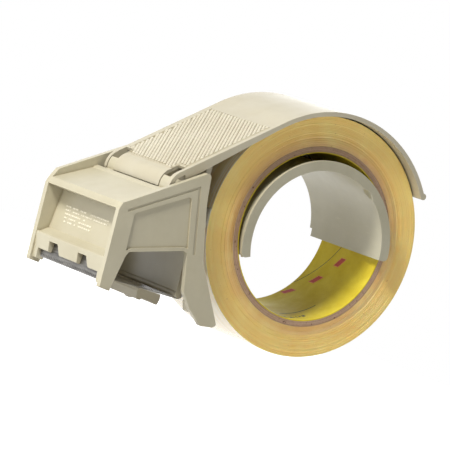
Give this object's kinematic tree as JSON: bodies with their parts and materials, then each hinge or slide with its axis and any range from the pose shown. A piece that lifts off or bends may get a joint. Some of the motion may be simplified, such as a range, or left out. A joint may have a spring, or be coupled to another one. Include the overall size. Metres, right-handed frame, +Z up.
{
  "type": "hand-held tape dispenser",
  "caption": "Hand-held box-sealing tape dispenser: palm grip and shroud over a tape roll on an open hub, with a hinged serrated cutting head.",
  "frame": {"origin": "middle of the footprint's bounding rectangle, on the surface that the dispenser stands on", "axes": "+Z up; -X towards the cutting head, +X towards the back of the shroud; +Y towards the closed side wall"},
  "size_m": [0.1602, 0.067, 0.1126],
  "materials": {
    "frame_plastic": "satin moulded ABS, warm beige",
    "head_plastic": "satin moulded ABS, warm beige",
    "steel_blade": "dark tempered steel",
    "steel_hardware": "zinc plated",
    "cardboard": "spiral wound kraft board",
    "printed_liner": "printed yellow paper ply",
    "tape_roll": "wound translucent amber film",
    "tape_film": "single layer of clear film"
  },
  "bodies": {
    "frame": {"grip_shell": "frame_plastic", "side_wall": "frame_plastic", "cross_wall": "frame_plastic", "guide_foot": "frame_plastic", "foot_screws": "steel_hardware", "roll_hub": "frame_plastic", "hub_screws": "steel_hardware", "hinge_pin": "steel_hardware", "pin_clip": "steel_hardware", "tape_web": "tape_film"},
    "head": {"near_cheek": "head_plastic", "far_cheek": "head_plastic", "head_housing": "head_plastic", "cutting_blade": "steel_blade", "blade_retainer": "steel_hardware", "blade_screws": "steel_hardware", "head_spring": "steel_hardware"},
    "tape_roll": {"tape_core": "cardboard", "core_liner": "printed_liner", "tape_winding": "tape_roll"}
  },
  "joints": [
    {"name": "head_hinge", "type": "hinge", "parent": "frame", "child": "head", "pos_m": [-0.0497, 0, 0.05292], "axis": [0, 1, 0], "range_deg": [0, 35], "stiffness_Nm_per_rad": 0.03, "springref_deg": -34.38},
    {"name": "roll_spin", "type": "hinge", "parent": "frame", "child": "tape_roll", "pos_m": [0.0251, 0, 0.055], "axis": [0, 1, 0], "continuous": true}
  ]
}
